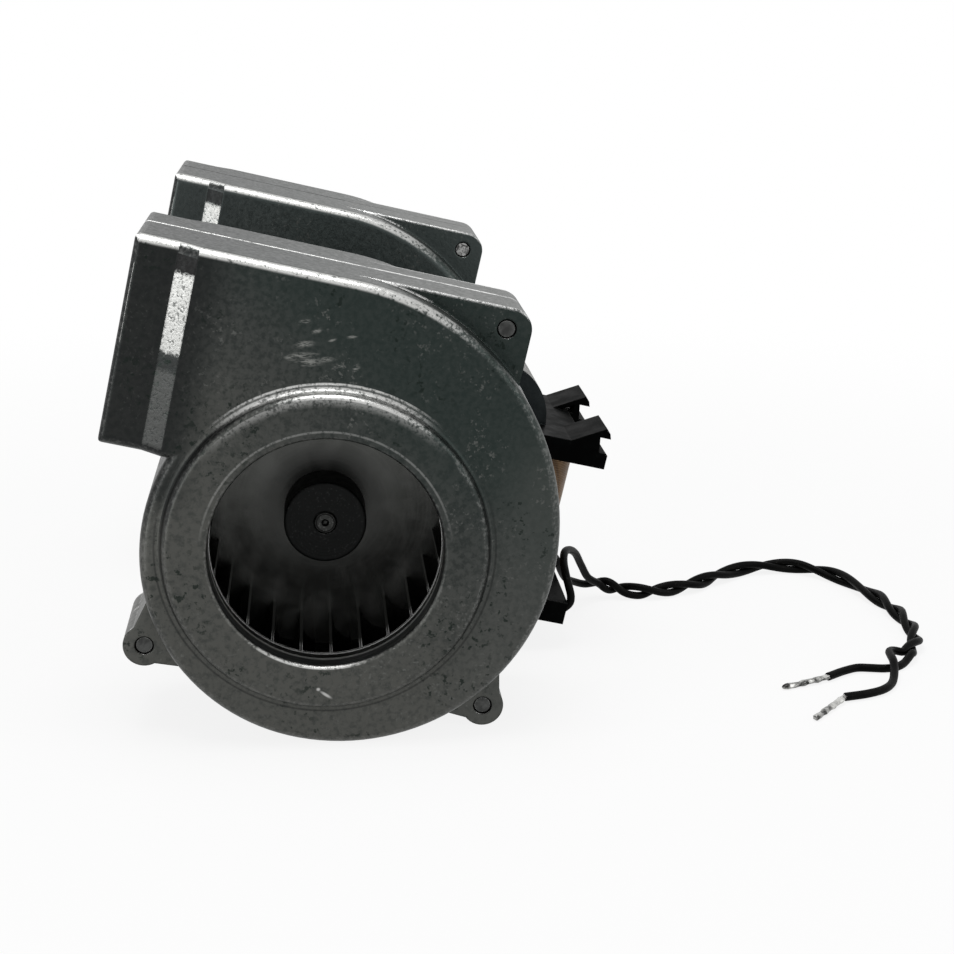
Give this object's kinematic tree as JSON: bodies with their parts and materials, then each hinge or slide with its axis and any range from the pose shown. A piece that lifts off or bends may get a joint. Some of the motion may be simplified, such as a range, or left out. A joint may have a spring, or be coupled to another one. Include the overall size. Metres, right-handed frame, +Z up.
{
  "type": "double inlet centrifugal blower",
  "caption": "Twin die-cast scroll blower: forward-curved wheels on one shaft, driven by an open-frame shaded-pole motor between the scrolls, with bare-ended leads.",
  "frame": {"origin": "on the table under the middle of the blower without its leads, half way between the scrolls", "axes": "+Y along the shaft from the front inlet to the rear inlet, +Z up as the blower rests on the bottoms of its scrolls and on the ears beside them, +X away from the outlets"},
  "size_m": [0.1893, 0.1586, 0.1052],
  "materials": {
    "casting": "dark mottled die-cast metal with bright worn edges",
    "screw_steel": "zinc-plated steel",
    "lamination": "stacked electrical steel, dark faces and grey edges",
    "copper": "bare copper, dulled",
    "black_plastic": "black moulded plastic",
    "winding_tape": "enamelled copper winding under brown tape",
    "tinned_metal": "tinned copper",
    "bridge_casting": "plain die-cast metal",
    "bronze": "sintered bronze, oily",
    "felt": "oil-soaked felt",
    "spring_steel": "spring steel",
    "shaft_steel": "ground steel",
    "cast_aluminium": "cast aluminium",
    "white_plastic": "natural nylon",
    "wheel_sheet": "zinc-plated sheet, satin",
    "hub_black": "blackened steel",
    "lead_insulation": "black lead insulation"
  },
  "bodies": {
    "housing": {"front_inlet_shell": "casting", "front_motor_shell": "casting", "rear_motor_shell": "casting", "rear_inlet_shell": "casting", "front_scroll_screws": "screw_steel", "rear_scroll_screws": "screw_steel", "stator_stack": "lamination", "core_leg": "lamination", "shading_rings": "copper", "coil_bobbin": "black_plastic", "coil_winding": "winding_tape", "coil_terminals": "tinned_metal", "front_bearing_bridge": "bridge_casting", "rear_bearing_bridge": "bridge_casting", "front_bearing": "bronze", "rear_bearing": "bronze", "front_oil_felt": "felt", "rear_oil_felt": "felt", "front_bearing_retainer": "spring_steel", "rear_bearing_retainer": "spring_steel", "tie_bolts": "screw_steel", "tie_washers": "screw_steel", "tie_nuts": "screw_steel", "lead_a": "lead_insulation", "lead_b": "lead_insulation", "lead_a_tip": "tinned_metal", "lead_b_tip": "tinned_metal"},
    "rotor": {"shaft": "shaft_steel", "rotor_core": "lamination", "rotor_end_rings": "cast_aluminium", "thrust_spacers": "white_plastic", "front_wheel_ring": "wheel_sheet", "front_wheel_blades": "wheel_sheet", "front_wheel_plate": "wheel_sheet", "front_wheel_hub": "hub_black", "front_grub_screw": "hub_black", "rear_wheel_ring": "wheel_sheet", "rear_wheel_blades": "wheel_sheet", "rear_wheel_plate": "wheel_sheet", "rear_wheel_hub": "hub_black", "rear_grub_screw": "hub_black"}
  },
  "joints": [
    {"name": "shaft_spin", "type": "hinge", "parent": "housing", "child": "rotor", "pos_m": [-0.0106, 0, 0.04177], "axis": [0, -1, 0], "continuous": true}
  ]
}
